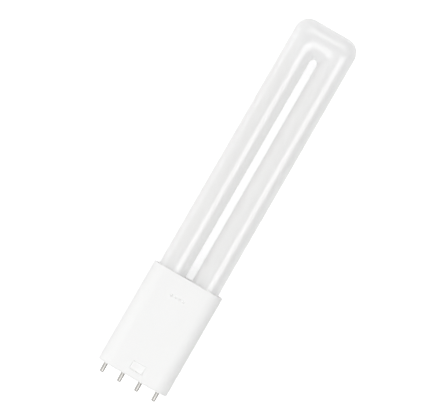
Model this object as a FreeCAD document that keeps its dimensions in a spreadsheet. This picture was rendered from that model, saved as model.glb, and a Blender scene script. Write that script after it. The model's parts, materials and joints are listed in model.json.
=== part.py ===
import FreeCAD, Part
import os
from types import SimpleNamespace

import Sketcher
from FreeCAD import Placement, Rotation, Vector

# A plug-in lamp with four contact pins in one row, a white two-shell housing and
# a frosted twin tube whose two legs are joined by a squared bend.
#
# Frame: X runs along the lamp from the pins to the bend, Y across the row of pins
# and Z out of the front broad face. The origin is the middle of the pin row on the
# face of the housing that the pins stand on. All sizes are in millimetres.

DRIVING_SIZES = [
    # The four contact pins
    ("pin_pitch", 11.0, "centre to centre of two neighbouring pins"),
    ("pin_dia", 2.35, "outside of a pin"),
    ("pin_reach", 6.1, "how far a pin stands out of the housing"),
    ("pin_tip_long", 0.8, "length of the rounded tip"),
    ("pin_nose_long", 0.27, "steeper end of the tip"),
    ("pin_nose_dia", 1.93, "tip where its steeper end starts"),
    ("pin_tip_dia", 1.1, "flat end of the tip"),
    ("shank_dia", 2.9, "thicker shank of a pin, from the end face inwards"),
    ("pin_tail", 2.4, "length of a pin behind the end wall"),
    ("collar_dia", 4.0, "collar that locks a pin in the end wall"),
    ("collar_thick", 0.8, "thickness of that collar"),
    ("collar_depth", 1.2, "end face to the near side of the collar"),
    ("pin_play", 0.05, "clearance round a pin in its hole"),
    # The housing
    ("case_side", 2.7, "housing beyond the legs on each narrow side"),
    ("case_cover", 3.55, "housing over the legs on each broad face"),
    ("case_long", 62.6, "housing along the lamp"),
    ("case_corner", 8.0, "rounding of its long corners"),
    ("case_wall", 1.6, "wall of the shells"),
    ("end_wall", 3.0, "wall that carries the pins"),
    ("end_round", 1.0, "rounding round the pin end"),
    ("rim_bevel", 0.4, "bevel of the rim at the tube end"),
    ("seam_bevel", 0.15, "bevel on both sides of the seam"),
    ("tongue_wide", 0.5, "tongue of the seam, across the wall"),
    ("tongue_tall", 0.6, "tongue of the seam, above the seam"),
    ("tongue_play", 0.1, "clearance round the tongue"),
    ("tongue_start", 6.0, "pin end to the start of the tongue"),
    ("tongue_stop", 7.6, "end of the tongue to the holder's flange"),
    # Clip recesses, one on each broad face, and the row of dimples on the front
    ("clip_wide", 8.2, "clip recess across the lamp"),
    ("clip_start", 3.8, "pin end to the upright wall of the recess"),
    ("clip_floor", 2.0, "length of the flat floor of the recess"),
    ("clip_ramp", 3.7, "length of the ramp that leads out of it"),
    ("clip_deep", 1.0, "depth of the recess"),
    ("dimple_dia", 0.9, "one of the four small dimples"),
    ("dimple_deep", 0.3, "depth of a dimple"),
    ("dimple_pitch", 2.6, "step from one dimple to the next"),
    ("dimple_below_rim", 12.0, "rim to the row of dimples"),
    # The twin tube
    ("tube_dia", 16.9, "outside of a leg"),
    ("leg_pitch", 21.0, "centre to centre of the legs"),
    ("tube_top", 222.9, "end face of the housing to the top of the bend"),
    ("bridge_tall", 19.6, "end of the slot to the top of the bend"),
    ("tube_wall", 1.0, "wall of the tube"),
    # The holder that grips the legs
    ("holder_sunk", 1.0, "rim to the face of the holder"),
    ("holder_long", 13.0, "length of the holder"),
    ("holder_play", 0.1, "clearance between holder and shells"),
    ("socket_play", 0.1, "clearance between a leg and its socket"),
    ("ledge_thick", 2.5, "ledge that a leg stands on"),
    ("flange_start", 3.0, "inner face of the holder to its flange"),
    ("flange_thick", 1.6, "thickness of the flange"),
    ("flange_proud", 0.6, "how far the flange stands out"),
    ("flange_play", 0.1, "clearance of the flange in its groove"),
    # The driver board and the posts that hold it
    ("board_gap", 3.6, "driver board to the holder"),
    ("board_side", 1.4, "clearance on each side of the board"),
    ("board_thick", 1.2, "thickness of the driver board"),
    ("board_start", 5.0, "end face of the housing to the board"),
    ("board_drop", 5.6, "middle plane of the lamp down to the board's top"),
    ("board_corner", 2.0, "corner rounding of the board"),
    ("post_wide", 3.0, "side of the square posts that clamp the board"),
    ("post_inset", 3.0, "edge of the board to a post"),
    ("post_root", 0.4, "posts into the wall that carries them"),
    ("post_spread", 11.0, "middle line to the two posts at the pin end"),
    # Stamped contact tabs, which stand in slots of the driver board
    ("tab_thick", 0.4, "sheet that the tabs are stamped from"),
    ("tab_wide", 2.4, "tab behind a pin"),
    ("tab_foot", 1.2, "its narrow foot, through the board"),
    ("tab_rise", 1.4, "how far it stands above the pin's axis"),
    ("tab_below", 0.7, "how far a foot stands out under the board"),
    ("strip_tab_wide", 1.6, "tab from a strip to the board"),
    ("strip_tab_grip", 3.0, "its length on the strip"),
    ("strip_tab_reach", 3.6, "its length past the end of the strip"),
    ("strip_tab_pitch", 5.0, "step between the two tabs of a strip"),
    ("slot_play", 0.05, "clearance round a tab in its slot"),
    # LED strips
    ("strip_side", 1.15, "edge of an LED strip to the bore"),
    ("strip_corner", 1.0, "rounding of its corners"),
    ("strip_thick", 1.0, "thickness of the strip"),
    ("strip_below", 1.2, "how far a strip stands out of the holder"),
    ("strip_short", 1.0, "end of the strip to the start of the bend"),
    ("strip_play", 0.05, "clearance between strip and tube"),
    ("led_long", 3.5, "LED package along the strip"),
    ("led_wide", 2.8, "LED package across the strip"),
    ("led_tall", 0.8, "height of an LED package"),
    ("led_first", 6.4, "rim of the housing to the first package"),
    ("led_last", 2.35, "last package to the end of the strip"),
    ("led_count", 20, "packages on a strip"),
    # Parts on the driver board
    ("bulk_dia", 8.0, "bulk capacitor"),
    ("bulk_long", 14.0, "its length"),
    ("bulk_crimp", 2.4, "its sealed end to the crimp"),
    ("bulk_groove", 0.5, "depth of the crimp"),
    ("core_wide", 14.0, "transformer core across the lamp"),
    ("core_long", 12.0, "transformer core along the lamp"),
    ("core_thick", 5.0, "thickness of the core plates"),
    ("core_limb", 1.9, "outer limbs and yokes of the core"),
    ("core_centre", 3.4, "middle limb of the core"),
    ("core_play", 0.15, "clearance between core and bobbin"),
    ("bobbin_skin", 0.7, "wall of the bobbin"),
    ("bobbin_flange", 0.8, "thickness of its flanges"),
    ("bobbin_tall", 11.0, "height of its flanges"),
    ("winding_inset", 0.6, "winding below the flange edge"),
    ("choke_dia", 6.0, "flanges of the drum choke"),
    ("choke_tall", 7.5, "height of the drum choke"),
    ("choke_flange", 1.3, "thickness of its flanges"),
    ("choke_waist", 2.8, "core between the flanges"),
    ("choke_inset", 0.5, "winding below the flange edge"),
    ("bridge_long", 4.0, "bridge rectifier along the lamp"),
    ("bridge_wide", 4.8, "bridge rectifier across the lamp"),
    ("bridge_high", 2.2, "height of the rectifier"),
    ("bridge_pitch", 2.5, "step between its legs"),
    ("chip_long", 5.0, "controller chip along the lamp"),
    ("chip_wide", 4.0, "controller chip across the lamp"),
    ("chip_high", 1.5, "height of the chip"),
    ("chip_pitch", 1.27, "step between its legs"),
    ("foot_wide", 0.5, "width of a chip leg"),
    ("foot_reach", 1.0, "how far a leg stands out of its chip"),
    ("foot_thick", 0.3, "thickness of a chip leg"),
    ("fuse_dia", 2.4, "fuse resistor"),
    ("fuse_long", 5.8, "length of a fuse resistor"),
    ("film_long", 4.0, "film capacitor along the lamp"),
    ("film_wide", 8.0, "film capacitor across the lamp"),
    ("film_tall", 8.5, "height of a film capacitor"),
    ("film_bevel", 0.5, "bevel round its top"),
    ("disc_dia", 7.0, "surge varistor"),
    ("disc_thick", 3.4, "its thickness"),
    ("seat_play", 0.05, "clearance under a round part that lies on the board"),
    # Where those parts stand: off the board's middle line, and from one of its ends
    ("bulk_from_pins", 15.4, "pin end of the board to the bulk capacitor's middle"),
    ("bulk_off", 11.0, "middle line to the bulk capacitor"),
    ("core_from_pins", 14.4, "pin end of the board to the transformer"),
    ("core_off", 9.2, "middle line to the transformer"),
    ("choke_from_tube", 5.9, "tube end of the board to the choke"),
    ("choke_off", 10.5, "middle line to the choke"),
    ("bridge_from_pins", 5.4, "pin end of the board to the rectifier"),
    ("chip_from_pins", 11.0, "pin end of the board to the chip"),
    ("chip_off", 2.4, "middle line to the chip"),
    ("fuse_from_pins", 6.3, "pin end of the board to the fuse resistors"),
    ("fuse_off", 11.6, "middle line to each fuse resistor"),
    ("film_from_tube", 4.5, "tube end of the board to the film capacitor"),
    ("film_off", 10.5, "middle line to the film capacitor"),
    ("disc_from_pins", 18.0, "pin end of the board to the varistor"),
    ("disc_off", 2.4, "middle line to the varistor"),
]

# Four things in a row, in steps from its middle
FOUR_STEPS = (1.5, 0.5, -0.5, -1.5)


class Length:
    """A length with the sheet expression that gives it, so both always agree."""

    def __init__(self, value, text):
        self.value = float(value)
        self.text = text

    @staticmethod
    def of(other):
        return other if isinstance(other, Length) else Length(other, repr(float(other)))

    def __add__(self, other):
        other = Length.of(other)
        return Length(self.value + other.value, f"({self.text} + {other.text})")

    def __sub__(self, other):
        other = Length.of(other)
        return Length(self.value - other.value, f"({self.text} - {other.text})")

    def __mul__(self, other):
        other = Length.of(other)
        return Length(self.value * other.value, f"({self.text} * {other.text})")

    def __truediv__(self, other):
        other = Length.of(other)
        return Length(self.value / other.value, f"({self.text} / {other.text})")

    def __neg__(self):
        return Length(-self.value, f"(0 - {self.text})")

    def root(self):
        return Length(self.value ** 0.5, f"sqrt({self.text})")

    __radd__ = __add__
    __rmul__ = __mul__


ZERO = Length(0, "0")
ONE = Length(1, "1")

doc = FreeCAD.newDocument("FourPinCompactLamp")
sheet = doc.addObject("Spreadsheet::Sheet", "Sizes")
size = SimpleNamespace()
for row, (alias, number, meaning) in enumerate(DRIVING_SIZES, start=1):
    sheet.set(f"A{row}", meaning)
    sheet.set(f"B{row}", str(number))
    sheet.setAlias(f"B{row}", alias)
    setattr(size, alias, Length(number, f"Sizes.{alias}"))
doc.recompute()

subparts = []


# Helpers that make one kind of object each

def keep(thing, label):
    """Counts a finished object as one sub-part, under the name of its file."""
    thing.Label = label
    subparts.append(thing)
    return thing


def place(thing, x, y, z, turn=Rotation()):
    """Puts an object at a place that follows the sheet."""
    thing.Placement = Placement(Vector(x.value, y.value, z.value), turn)
    for axis, where in (("x", x), ("y", y), ("z", z)):
        thing.setExpression(f"Placement.Base.{axis}", where.text)
    return thing


def new_body(label):
    body = doc.addObject("PartDesign::Body", label + "_body")
    return keep(body, label)


def new_sketch(body, plane, lift=ZERO, turn=Rotation()):
    """A sketch on an origin plane of its body, lifted along the plane's normal."""
    sketch = body.newObject("Sketcher::SketchObject", body.Label + "_sketch")
    origin_plane = next(item for item in body.Origin.OriginFeatures if item.Role == plane)
    sketch.AttachmentSupport = (origin_plane, [""])
    sketch.MapMode = "FlatFace"
    sketch.AttachmentOffset = Placement(turn.multVec(Vector(0, 0, lift.value)), turn)
    upright = turn.multVec(Vector(0, 0, 1)).z > 0
    sketch.setExpression("AttachmentOffset.Base.z", (lift if upright else -lift).text)
    return sketch


def fix(sketch, element, point, x, y):
    """Ties a point of a sketch to its place, measured from the sketch origin."""
    for kind, where in (("DistanceX", x), ("DistanceY", y)):
        rule = sketch.addConstraint(Sketcher.Constraint(kind, -1, 1, element, point, where.value))
        sketch.setExpression(f"Constraints[{rule}]", where.text)


def add_circle(sketch, x, y, radius):
    circle = Part.Circle(Vector(x.value, y.value, 0), Vector(0, 0, 1), radius.value)
    element = sketch.addGeometry(circle, False)
    rule = sketch.addConstraint(Sketcher.Constraint("Radius", element, radius.value))
    sketch.setExpression(f"Constraints[{rule}]", radius.text)
    fix(sketch, element, 3, x, y)


def add_outline(sketch, corners):
    """A closed outline of straight edges, given anticlockwise.

    Each corner is (x, y) or (x, y, rounding), and a rounded corner joins one edge
    along X and one along Y.
    """
    spots = [(Length.of(c[0]), Length.of(c[1]), c[2] if len(c) > 2 else None) for c in corners]
    count = len(spots)
    ways = []
    for here, after in zip(spots, spots[1:] + spots[:1]):
        way = Vector(after[0].value - here[0].value, after[1].value - here[1].value, 0)
        ways.append(way.normalize())
    arrivals = []
    departures = []
    for number, (x, y, rounding) in enumerate(spots):
        if rounding is None:
            arrivals.append((x, y))
            departures.append((x, y))
            continue
        into = ways[number - 1]
        out = ways[number]
        arrivals.append((x - rounding * into.x, y - rounding * into.y))
        departures.append((x + rounding * out.x, y + rounding * out.y))
    edges = []
    for number in range(count):
        begin = departures[number]
        end = arrivals[(number + 1) % count]
        line = Part.LineSegment(
            Vector(begin[0].value, begin[1].value, 0), Vector(end[0].value, end[1].value, 0)
        )
        edges.append(sketch.addGeometry(line, False))
        fix(sketch, edges[-1], 1, *begin)
        if spots[(number + 1) % count][2] is not None:
            fix(sketch, edges[-1], 2, *end)
    for number, (x, y, rounding) in enumerate(spots):
        before = edges[number - 1]
        after = edges[number]
        if rounding is None:
            sketch.addConstraint(Sketcher.Constraint("Coincident", before, 2, after, 1))
            continue
        into = ways[number - 1]
        out = ways[number]
        turn_left = into.cross(out).z > 0
        centre_x = arrivals[number][0] + rounding * out.x
        centre_y = arrivals[number][1] + rounding * out.y
        centre = Vector(centre_x.value, centre_y.value, 0)
        first, last = (arrivals, departures) if turn_left else (departures, arrivals)
        start = Vector(first[number][0].value, first[number][1].value, 0) - centre
        finish = Vector(last[number][0].value, last[number][1].value, 0) - centre
        arc = Part.ArcOfCircle(
            Part.Circle(centre, Vector(0, 0, 1), rounding.value),
            start.getAngle(Vector(1, 0, 0)) * (1 if start.y >= 0 else -1),
            finish.getAngle(Vector(1, 0, 0)) * (1 if finish.y >= 0 else -1),
        )
        element = sketch.addGeometry(arc, False)
        arrive, leave = (1, 2) if turn_left else (2, 1)
        sketch.addConstraint(Sketcher.Constraint("Coincident", before, 2, element, arrive))
        sketch.addConstraint(Sketcher.Constraint("Coincident", element, leave, after, 1))
        across = Sketcher.Constraint("DistanceX", -1, 1, element, 3, centre_x.value)
        rule = sketch.addConstraint(across)
        sketch.setExpression(f"Constraints[{rule}]", centre_x.text)


def rectangle(x_low, x_high, y_low, y_high, rounding=None):
    corner = () if rounding is None else (rounding,)
    return [
        (x_low, y_low) + corner,
        (x_high, y_low) + corner,
        (x_high, y_high) + corner,
        (x_low, y_high) + corner,
    ]


def pad(body, sketch, length, both_ways=False, backwards=False):
    feature = body.newObject("PartDesign::Pad", body.Label + "_pad")
    feature.Profile = sketch
    feature.Refine = True
    feature.SideType = "Symmetric" if both_ways else "One side"
    feature.Reversed = backwards
    feature.setExpression("Length", length.text)
    doc.recompute()
    return feature


def cut(body, sketch, length, both_ways=False, backwards=False):
    """A pocket along the sketch's normal, which has to take material away."""
    before = body.Shape.Volume
    feature = body.newObject("PartDesign::Pocket", body.Label + "_pocket")
    feature.Profile = sketch
    feature.Refine = True
    feature.SideType = "Symmetric" if both_ways else "One side"
    feature.Reversed = not backwards
    feature.setExpression("Length", length.text)
    doc.recompute()
    if not body.Shape.Volume < before:
        raise RuntimeError(f"{feature.Label} takes nothing away")
    return feature


def spin(body, sketch, axis):
    """A full turn of a sketch about an axis of its body or of the sketch."""
    feature = body.newObject("PartDesign::Revolution", body.Label + "_turn")
    feature.Profile = sketch
    feature.ReferenceAxis = (sketch, [axis])
    feature.Angle = 360
    doc.recompute()
    return feature


def soften(body, kind, amount, chosen):
    """Rounds or bevels the edges of a body that a test picks by their middle."""
    base = body.Tip
    names = []
    for number, edge in enumerate(base.Shape.Edges, start=1):
        middle = edge.valueAt((edge.FirstParameter + edge.LastParameter) / 2)
        if chosen(middle):
            names.append(f"Edge{number}")
    feature = body.newObject("PartDesign::" + kind, body.Label + "_" + kind.lower())
    feature.Base = (base, names)
    feature.setExpression("Radius" if kind == "Fillet" else "Size", amount.text)
    doc.recompute()
    return feature


def row(body, feature, axis, extent, count):
    """Repeats a feature evenly along an origin axis of its body, over this extent."""
    pattern = body.newObject("PartDesign::LinearPattern", body.Label + "_row")
    pattern.Originals = [feature]
    origin_axis = next(item for item in body.Origin.OriginFeatures if item.Role == axis)
    pattern.Direction = (origin_axis, [""])
    pattern.Mode = "Extent"
    pattern.setExpression("Length", extent.text)
    pattern.setExpression("Occurrences", count.text)
    body.Tip = pattern
    doc.recompute()
    return pattern


def near(first, second, tolerance=0.001):
    return abs(first - second) < tolerance


# Places that several pieces share

pin_radius = size.pin_dia / 2
shank_radius = size.shank_dia / 2
tube_radius = size.tube_dia / 2
bore_radius = tube_radius - size.tube_wall
leg_axis = size.leg_pitch / 2
half_wide = leg_axis + tube_radius + size.case_side
half_deep = tube_radius + size.case_cover
pin_rows = [size.pin_pitch * step for step in FOUR_STEPS]

slot_radius = leg_axis - tube_radius
slot_centre = size.tube_top - size.bridge_tall - slot_radius
crown_line = size.tube_top - tube_radius

cavity_wide = half_wide - size.case_wall
cavity_deep = half_deep - size.case_wall
cavity_corner = size.case_corner - size.case_wall

holder_face = size.case_long - size.holder_sunk
holder_start = holder_face - size.holder_long
flange_start = holder_start + size.flange_start
tube_foot = holder_start + size.ledge_thick

board_top = -size.board_drop
board_bottom = board_top - size.board_thick
board_end = holder_start - size.board_gap
cavity_flat = cavity_deep - cavity_corner
board_sunk = -board_bottom - cavity_flat
cavity_bow = (cavity_corner * cavity_corner - board_sunk * board_sunk).root()
board_half = cavity_wide - cavity_corner + cavity_bow - size.board_side
front_posts = size.board_start + size.post_inset
rear_post = board_end - size.post_inset
post_places = [(front_posts, size.post_spread), (front_posts, -size.post_spread), (rear_post, ZERO)]

strip_half = bore_radius - size.strip_side
strip_bottom = size.strip_play - (bore_radius * bore_radius - strip_half * strip_half).root()
strip_top = strip_bottom + size.strip_thick
strip_start = holder_start - size.strip_below
strip_end = slot_centre - size.strip_short

pin_end = size.end_wall + size.pin_tail
tab_bottom = board_bottom - size.tab_below
strip_tab_end = strip_start - size.strip_tab_reach
strip_tab_offsets = [size.strip_tab_pitch / 2, -size.strip_tab_pitch / 2]


def make_shell(label, back):
    """One half of the housing; the back half is the front one turned over."""
    turn_end = Rotation(Vector(0, 0, 1), 180) if back else Rotation()
    turn_face = Rotation(Vector(1, 0, 0), 180) if back else Rotation()
    body = new_body(label)

    outside = new_sketch(body, "YZ_Plane", turn=turn_end)
    add_outline(outside, [
        (-half_wide, ZERO),
        (half_wide, ZERO),
        (half_wide, half_deep, size.case_corner),
        (-half_wide, half_deep, size.case_corner),
    ])
    pad(body, outside, size.case_long)
    rim = size.case_long.value
    soften(body, "Fillet", size.end_round, lambda mid: near(mid.x, 0) and not near(mid.z, 0))
    soften(body, "Chamfer", size.rim_bevel, lambda mid: near(mid.x, rim) and not near(mid.z, 0))
    soften(body, "Chamfer", size.seam_bevel, lambda mid: near(mid.z, 0) and not near(mid.x, rim))

    cavity = new_sketch(body, "YZ_Plane", size.end_wall, turn_end)
    add_outline(cavity, [
        (-cavity_wide, ZERO),
        (cavity_wide, ZERO),
        (cavity_wide, cavity_deep, cavity_corner),
        (-cavity_wide, cavity_deep, cavity_corner),
    ])
    cut(body, cavity, size.case_long - size.end_wall)

    proud = size.flange_proud + size.flange_play
    groove = new_sketch(body, "YZ_Plane", flange_start - size.flange_play, turn_end)
    add_outline(groove, [
        (-cavity_wide - proud, ZERO),
        (cavity_wide + proud, ZERO),
        (cavity_wide + proud, cavity_deep + proud, cavity_corner + proud),
        (-cavity_wide - proud, cavity_deep + proud, cavity_corner + proud),
    ])
    cut(body, groove, size.flange_thick + size.flange_play * 2)

    holes = new_sketch(body, "YZ_Plane", turn=turn_end)
    collars = new_sketch(body, "YZ_Plane", size.collar_depth, turn_end)
    for across in pin_rows:
        add_circle(holes, across, ZERO, shank_radius + size.pin_play)
        add_circle(collars, across, ZERO, size.collar_dia / 2 + size.pin_play)
    cut(body, holes, size.end_wall)
    cut(body, collars, size.collar_thick)

    recess = new_sketch(body, "XZ_Plane", turn=turn_face)
    ramp_start = size.clip_start + size.clip_floor
    ramp_end = ramp_start + size.clip_ramp
    add_outline(recess, [
        (size.clip_start, half_deep - size.clip_deep),
        (ramp_start, half_deep - size.clip_deep),
        (ramp_end, half_deep),
        (ramp_end, half_deep + size.clip_deep),
        (size.clip_start, half_deep + size.clip_deep),
    ])
    cut(body, recess, size.clip_wide, both_ways=True)

    lift = board_top if not back else -board_bottom
    posts = new_sketch(body, "XY_Plane", lift, turn_face)
    post_half = size.post_wide / 2
    for along, across in post_places:
        add_outline(posts, rectangle(
            along - post_half, along + post_half, across - post_half, across + post_half
        ))
    pad(body, posts, cavity_deep + size.post_root - lift)

    seam_middle = half_wide - size.case_wall / 2
    play = ZERO if back else size.tongue_play
    tongue = new_sketch(body, "XY_Plane")
    for middle in (seam_middle, -seam_middle):
        add_outline(tongue, rectangle(
            size.tongue_start - play,
            flange_start - size.tongue_stop + play,
            middle - size.tongue_wide / 2 - play,
            middle + size.tongue_wide / 2 + play,
        ))
    if back:
        pad(body, tongue, size.tongue_tall)
    else:
        cut(body, tongue, size.tongue_tall + play)
        dimples = new_sketch(body, "XY_Plane", half_deep)
        for step in FOUR_STEPS:
            across = size.dimple_pitch * step
            add_circle(dimples, size.case_long - size.dimple_below_rim, across, size.dimple_dia / 2)
        cut(body, dimples, size.dimple_deep, backwards=True)


def make_holder():
    """The plug in the rim: a flange locks it in the shells, two sockets take the legs."""
    body = new_body("tube_holder")
    wide = cavity_wide - size.holder_play
    deep = cavity_deep - size.holder_play
    corner = cavity_corner - size.holder_play
    block = new_sketch(body, "YZ_Plane", holder_start)
    add_outline(block, rectangle(-wide, wide, -deep, deep, corner))
    pad(body, block, size.holder_long)
    wide = cavity_wide + size.flange_proud
    deep = cavity_deep + size.flange_proud
    corner = cavity_corner + size.flange_proud
    flange = new_sketch(body, "YZ_Plane", flange_start)
    add_outline(flange, rectangle(-wide, wide, -deep, deep, corner))
    pad(body, flange, size.flange_thick)
    sockets = new_sketch(body, "YZ_Plane", tube_foot)
    openings = new_sketch(body, "YZ_Plane", holder_start)
    for across in (leg_axis, -leg_axis):
        add_circle(sockets, across, ZERO, tube_radius + size.socket_play)
        add_circle(openings, across, ZERO, bore_radius + size.socket_play)
    cut(body, sockets, size.holder_long - size.ledge_thick)
    cut(body, openings, size.ledge_thick)


def make_tube_form(name, radius, foot):
    """The solid that a ball of this radius sweeps along the legs and over the bend."""
    pieces = []
    along = Rotation(Vector(0, 0, -1), Vector(0, 1, 0), Vector(1, 0, 0), "ZXY")
    along_turned = Rotation(Vector(0, 0, 1), Vector(0, -1, 0), Vector(1, 0, 0), "ZXY")
    over = Rotation(Vector(0, 0, 1), Vector(1, 0, 0), Vector(0, 1, 0), "ZXY")
    for side, across, turn in (("left", leg_axis, along), ("right", -leg_axis, along_turned)):
        leg = doc.addObject("Part::Cylinder", f"{name}_{side}_leg")
        leg.setExpression("Radius", radius.text)
        leg.setExpression("Height", (slot_centre - foot).text)
        pieces.append(place(leg, foot, across, ZERO, turn))
        flank = doc.addObject("Part::Cylinder", f"{name}_{side}_flank")
        flank.setExpression("Radius", radius.text)
        flank.setExpression("Height", (crown_line - slot_centre).text)
        flank.Angle = 180
        pieces.append(place(flank, slot_centre, across, ZERO, turn))
        shoulder = doc.addObject("Part::Sphere", f"{name}_{side}_shoulder")
        shoulder.setExpression("Radius", radius.text)
        shoulder.Angle3 = 90
        quarter = Rotation(Vector(0, 0, 1), 0 if side == "left" else -90)
        pieces.append(place(shoulder, crown_line, across, ZERO, quarter))
    crown = doc.addObject("Part::Cylinder", f"{name}_crown")
    crown.setExpression("Radius", radius.text)
    crown.setExpression("Height", size.leg_pitch.text)
    crown.Angle = 180
    pieces.append(place(crown, crown_line, -leg_axis, ZERO, over))

    # The flat web between the slot's rounded end and the crown
    web_outline = doc.addObject("Sketcher::SketchObject", f"{name}_web_outline")
    rise = crown_line - slot_centre
    arc = Part.ArcOfCircle(
        Part.Circle(Vector(0, 0, 0), Vector(0, 0, 1), leg_axis.value),
        -Vector(1, 0, 0).getAngle(Vector(0, 1, 0)),
        Vector(1, 0, 0).getAngle(Vector(0, 1, 0)),
    )
    corners = [(ZERO, -leg_axis), (rise, -leg_axis), (rise, leg_axis), (ZERO, leg_axis)]
    edges = []
    for begin, end in zip(corners, corners[1:]):
        line = Part.LineSegment(
            Vector(begin[0].value, begin[1].value, 0), Vector(end[0].value, end[1].value, 0)
        )
        edges.append(web_outline.addGeometry(line, False))
        fix(web_outline, edges[-1], 1, *begin)
    fix(web_outline, edges[-1], 2, *corners[-1])
    bow = web_outline.addGeometry(arc, False)
    for first, second in zip(edges, edges[1:]):
        web_outline.addConstraint(Sketcher.Constraint("Coincident", first, 2, second, 1))
    web_outline.addConstraint(Sketcher.Constraint("Coincident", edges[0], 1, bow, 1))
    web_outline.addConstraint(Sketcher.Constraint("Coincident", edges[-1], 2, bow, 2))
    rule = web_outline.addConstraint(Sketcher.Constraint("DistanceX", -1, 1, bow, 3, 0.0))
    web_outline.setExpression(f"Constraints[{rule}]", ZERO.text)
    place(web_outline, slot_centre, ZERO, ZERO)
    web = doc.addObject("Part::Extrusion", f"{name}_web")
    web.Base = web_outline
    web.DirMode = "Normal"
    web.Solid = True
    web.Symmetric = True
    web.setExpression("LengthFwd", (radius * 2).text)
    pieces.append(web)

    # The saddle round the slot's end: the inner half of a bent tube
    saddle_outline = doc.addObject("Sketcher::SketchObject", f"{name}_saddle_outline")
    upright = Part.LineSegment(
        Vector(leg_axis.value, -radius.value, 0), Vector(leg_axis.value, radius.value, 0)
    )
    upright = saddle_outline.addGeometry(upright, False)
    fix(saddle_outline, upright, 1, leg_axis, -radius)
    fix(saddle_outline, upright, 2, leg_axis, radius)
    quarter_turn = Vector(1, 0, 0).getAngle(Vector(0, 1, 0))
    belly = saddle_outline.addGeometry(Part.ArcOfCircle(
        Part.Circle(Vector(leg_axis.value, 0, 0), Vector(0, 0, 1), radius.value),
        quarter_turn,
        quarter_turn * 3,
    ), False)
    saddle_outline.addConstraint(Sketcher.Constraint("Coincident", upright, 2, belly, 1))
    saddle_outline.addConstraint(Sketcher.Constraint("Coincident", upright, 1, belly, 2))
    rule = saddle_outline.addConstraint(
        Sketcher.Constraint("DistanceX", -1, 1, belly, 3, leg_axis.value)
    )
    saddle_outline.setExpression(f"Constraints[{rule}]", leg_axis.text)
    upright_plane = Rotation(Vector(0, 1, 0), Vector(0, 0, 1), Vector(1, 0, 0), "ZXY")
    place(saddle_outline, slot_centre, ZERO, ZERO, upright_plane)
    saddle = doc.addObject("Part::Revolution", f"{name}_saddle")
    saddle.Source = saddle_outline
    saddle.Axis = Vector(0, 0, -1)
    saddle.setExpression("Base.x", slot_centre.text)
    saddle.Angle = 180
    saddle.Solid = True
    pieces.append(saddle)

    form = doc.addObject("Part::MultiFuse", f"{name}_form")
    form.Shapes = pieces
    form.Refine = True
    return form


def make_tube():
    """The twin tube: its outer form less the same form one wall smaller."""
    outer = make_tube_form("tube_outside", tube_radius, tube_foot)
    inner = make_tube_form("tube_inside", bore_radius, tube_foot - size.tube_wall)
    tube = doc.addObject("Part::Cut", "twin_tube_cut")
    tube.Base = outer
    tube.Tool = inner
    keep(tube, "twin_tube")


def make_pin(label, across):
    """A turned pin with a blunt rounded tip and a collar that the end wall traps."""
    body = new_body(label)
    collar = size.collar_dia / 2
    collar_end = size.collar_depth + size.collar_thick
    tip = size.pin_tip_dia / 2
    section = new_sketch(body, "XY_Plane")
    add_outline(section, [
        (-size.pin_reach, ZERO),
        (pin_end, ZERO),
        (pin_end, shank_radius),
        (collar_end, shank_radius),
        (collar_end, collar),
        (size.collar_depth, collar),
        (size.collar_depth, shank_radius),
        (ZERO, shank_radius),
        (ZERO, pin_radius),
        (-size.pin_reach + size.pin_tip_long, pin_radius),
        (-size.pin_reach + size.pin_nose_long, size.pin_nose_dia / 2),
        (-size.pin_reach, tip),
    ])
    spin(body, section, "H_Axis")
    place(body, ZERO, across, ZERO)


def make_contact_tab(label, across):
    """A stamped tab that stands behind a pin, with its foot through the board."""
    body = new_body(label)
    half = size.tab_wide / 2
    foot = size.tab_foot / 2
    shape = new_sketch(body, "YZ_Plane", pin_end)
    add_outline(shape, [
        (-foot, tab_bottom),
        (foot, tab_bottom),
        (foot, board_top),
        (half, board_top),
        (half, size.tab_rise),
        (-half, size.tab_rise),
        (-half, board_top),
        (-foot, board_top),
    ])
    pad(body, shape, size.tab_thick)
    place(body, ZERO, across, ZERO)


def make_strip_tabs(side, leg):
    """Two angled tabs that lie on a strip and turn down through the board."""
    body = new_body(f"strip_tabs_{side}")
    half = size.strip_tab_wide / 2
    flat_top = strip_top + size.tab_thick
    flats = new_sketch(body, "XY_Plane", strip_top)
    feet = new_sketch(body, "XY_Plane", tab_bottom)
    for offset in strip_tab_offsets:
        flat = (strip_tab_end, strip_start + size.strip_tab_grip)
        foot = (strip_tab_end, strip_tab_end + size.tab_thick)
        add_outline(flats, rectangle(*flat, leg + offset - half, leg + offset + half))
        add_outline(feet, rectangle(*foot, leg + offset - half, leg + offset + half))
    pad(body, flats, size.tab_thick)
    pad(body, feet, flat_top - tab_bottom)


def make_strip(side, leg):
    """An LED strip that lies across its leg, with a row of packages on top."""
    body = new_body(f"led_strip_{side}")
    plate = new_sketch(body, "XY_Plane", strip_bottom)
    add_outline(plate, rectangle(
        strip_start, strip_end, leg - strip_half, leg + strip_half, size.strip_corner
    ))
    pad(body, plate, size.strip_thick)

    body = new_body(f"led_packages_{side}")
    first = size.case_long + size.led_first
    last = strip_end - size.led_last - size.led_long
    package = new_sketch(body, "XY_Plane", strip_top)
    add_outline(package, rectangle(
        first, first + size.led_long, leg - size.led_wide / 2, leg + size.led_wide / 2
    ))
    block = pad(body, package, size.led_tall)
    row(body, block, "X_Axis", last - first, size.led_count)


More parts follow.
